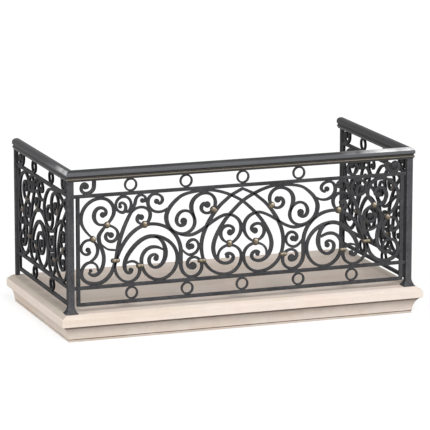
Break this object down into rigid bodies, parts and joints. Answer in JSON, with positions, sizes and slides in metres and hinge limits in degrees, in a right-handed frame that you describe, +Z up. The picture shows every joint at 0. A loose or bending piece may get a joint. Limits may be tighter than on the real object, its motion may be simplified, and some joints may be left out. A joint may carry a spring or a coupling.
{
  "type": "wrought iron balcony",
  "caption": "Wrought iron balcony: scrolled railings with bronze-coloured collars on three sides of a moulded stone slab.",
  "frame": {"origin": "middle of the wall plane, at the underside of the stone base", "axes": "+X to the right along the front, -Y out from the wall, +Z up"},
  "size_m": [2.858, 1.452, 1.277],
  "materials": {
    "stone": "matte",
    "iron": "satin",
    "handrail": "satin",
    "collar": "satin"
  },
  "bodies": {
    "root": {"floor_slab": "stone", "cove_moulding": "stone", "base_course": "stone", "post_front_left": "iron", "post_front_right": "iron", "wall_post_left": "iron", "wall_post_right": "iron", "upper_rail_front": "iron", "lower_rail_front": "iron", "bottom_rail_front": "iron", "stiles_front": "iron", "upper_rings_front": "iron", "lower_rings_front": "iron", "hook_scrolls_front": "iron", "upper_rail_left": "iron", "lower_rail_left": "iron", "bottom_rail_left": "iron", "stiles_left": "iron", "upper_rings_left": "iron", "lower_rings_left": "iron", "hook_scrolls_left": "iron", "upper_rail_right": "iron", "lower_rail_right": "iron", "bottom_rail_right": "iron", "stiles_right": "iron", "upper_rings_right": "iron", "lower_rings_right": "iron", "hook_scrolls_right": "iron", "arch_scrolls_front": "iron", "wheel_scrolls_front": "iron", "crest_scrolls_front": "iron", "heart_scrolls_front": "iron", "corner_scrolls_front": "iron", "arch_scrolls_left": "iron", "wheel_scrolls_left": "iron", "corner_scrolls_left": "iron", "arch_scrolls_right": "iron", "wheel_scrolls_right": "iron", "corner_scrolls_right": "iron", "handrail_front": "handrail", "handrail_left": "handrail", "handrail_right": "handrail", "collars_front": "collar", "collars_left": "collar", "collars_right": "collar"}
  },
  "joints": []
}
